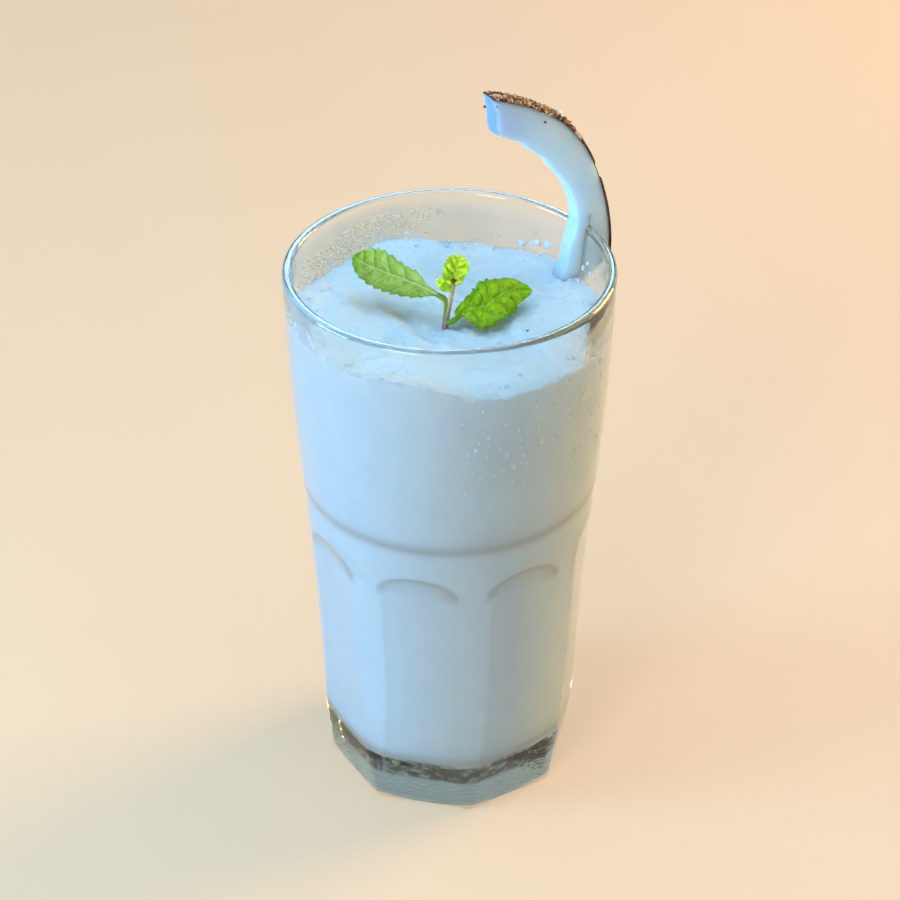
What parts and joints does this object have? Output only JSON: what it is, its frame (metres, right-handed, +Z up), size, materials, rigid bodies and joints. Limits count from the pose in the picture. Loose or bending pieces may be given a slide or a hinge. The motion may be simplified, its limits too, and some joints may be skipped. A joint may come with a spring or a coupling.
{
  "type": "coconut shake",
  "caption": "White coconut shake in a flared faceted glass with arched panels, a crescent of coconut hooked on the rim and a sprig of mint.",
  "frame": {"origin": "centre of the underside of the glass", "axes": "+Z up along the axis of the glass; -Y is the side the picture was taken from, and the coconut slice stands towards +X and +Y"},
  "size_m": [0.0862, 0.086, 0.2002],
  "materials": {
    "clear_glass": "clear, polished",
    "white_shake": "soft froth",
    "coconut": "moist white flesh with a thin brown skin",
    "mint": "puckered leaf, soft sheen"
  },
  "bodies": {
    "root": {"glass_tumbler": "clear_glass", "coconut_shake": "white_shake", "coconut_slice": "coconut", "mint_sprig": "mint"}
  },
  "joints": []
}
